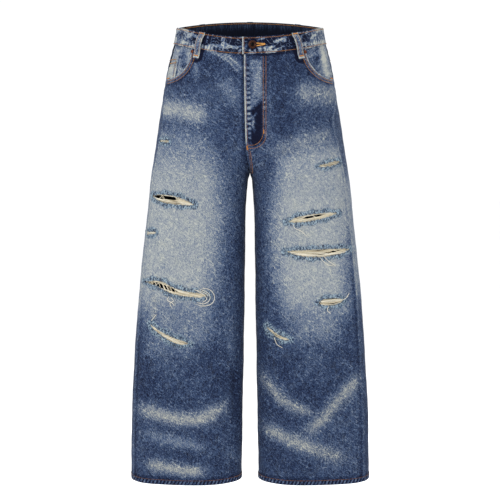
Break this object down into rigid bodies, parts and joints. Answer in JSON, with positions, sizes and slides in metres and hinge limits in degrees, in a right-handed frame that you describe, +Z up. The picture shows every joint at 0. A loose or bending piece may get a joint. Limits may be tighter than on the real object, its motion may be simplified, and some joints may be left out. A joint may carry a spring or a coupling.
{
  "type": "ripped wide-leg jeans",
  "caption": "Ripped wide-leg jeans in washed denim, filled out with no wearer, with scooped front pockets, belt loops, button and patch back pockets.",
  "frame": {"origin": "middle of the waist, level with the top of the waistband at the sides, where a wearer holds the garment", "axes": "+Z up, -Y towards the front, +X towards the wearer's left"},
  "size_m": [0.561, 0.2334, 1.083],
  "materials": {
    "denim": "stone-washed twill, faded on the thighs, ripped",
    "band_denim": "stone-washed twill with pale puckers",
    "faded_denim": "bleached twill",
    "worn_denim": "folded twill, worn pale on its ridges",
    "copper": "worn copper",
    "dark_copper": "antiqued copper"
  },
  "bodies": {
    "root": {"front_panel_right": "denim", "back_panel_right": "denim", "yoke_right": "denim", "back_pocket_right": "denim", "pocket_facing_right": "faded_denim", "rivet_right": "copper", "front_panel_left": "denim", "back_panel_left": "denim", "yoke_left": "denim", "back_pocket_left": "denim", "pocket_facing_left": "faded_denim", "rivet_left": "copper", "coin_pocket": "faded_denim", "waistband": "band_denim", "belt_loop_front_right": "worn_denim", "belt_loop_front_left": "worn_denim", "belt_loop_back_right": "worn_denim", "belt_loop_back_left": "worn_denim", "belt_loop_back_centre": "worn_denim", "waist_button": "dark_copper"}
  },
  "joints": []
}
